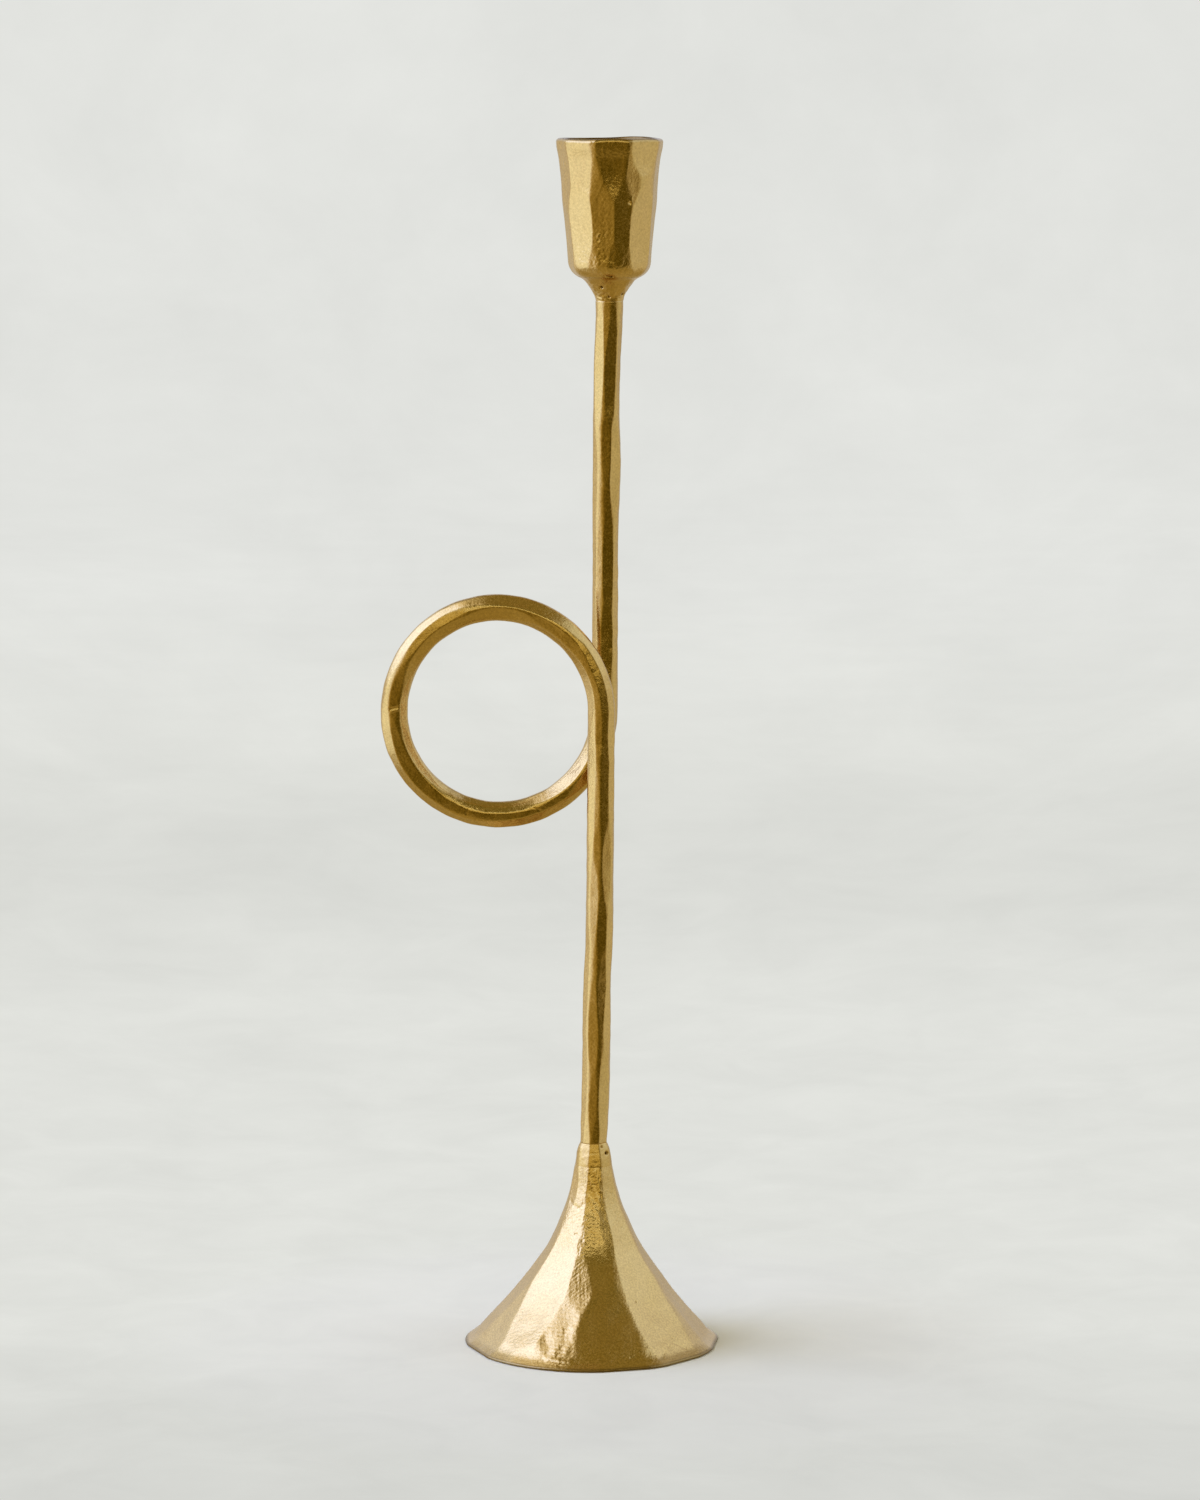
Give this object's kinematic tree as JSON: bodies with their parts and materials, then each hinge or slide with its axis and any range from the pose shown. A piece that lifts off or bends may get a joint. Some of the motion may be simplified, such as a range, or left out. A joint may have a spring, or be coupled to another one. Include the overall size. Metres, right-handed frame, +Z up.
{
  "type": "taper candle holder",
  "caption": "Tall hammered metal holder for a taper candle: a tapered cup on a slim bar that makes a loop at mid height, on a hollow flared foot with felt under it.",
  "frame": {"origin": "middle of the felt's underside, where the foot stands on the table", "axes": "+Z up along the stem, +X away from the loop, +Y towards the strand that crosses behind"},
  "size_m": [0.0891, 0.0677, 0.32],
  "materials": {
    "hammered_cup": "satin, cast and hammered",
    "hammered_bar": "satin, hammered",
    "hammered_foot": "satin, cast and hammered",
    "brazed_joint": "filed braze",
    "felt": "dark pressed felt"
  },
  "bodies": {
    "root": {"candle_cup": "hammered_cup", "cup_braze_collar": "brazed_joint", "looped_stem": "hammered_bar", "foot_braze_collar": "brazed_joint", "flared_foot": "hammered_foot", "felt_pad": "felt"}
  },
  "joints": []
}
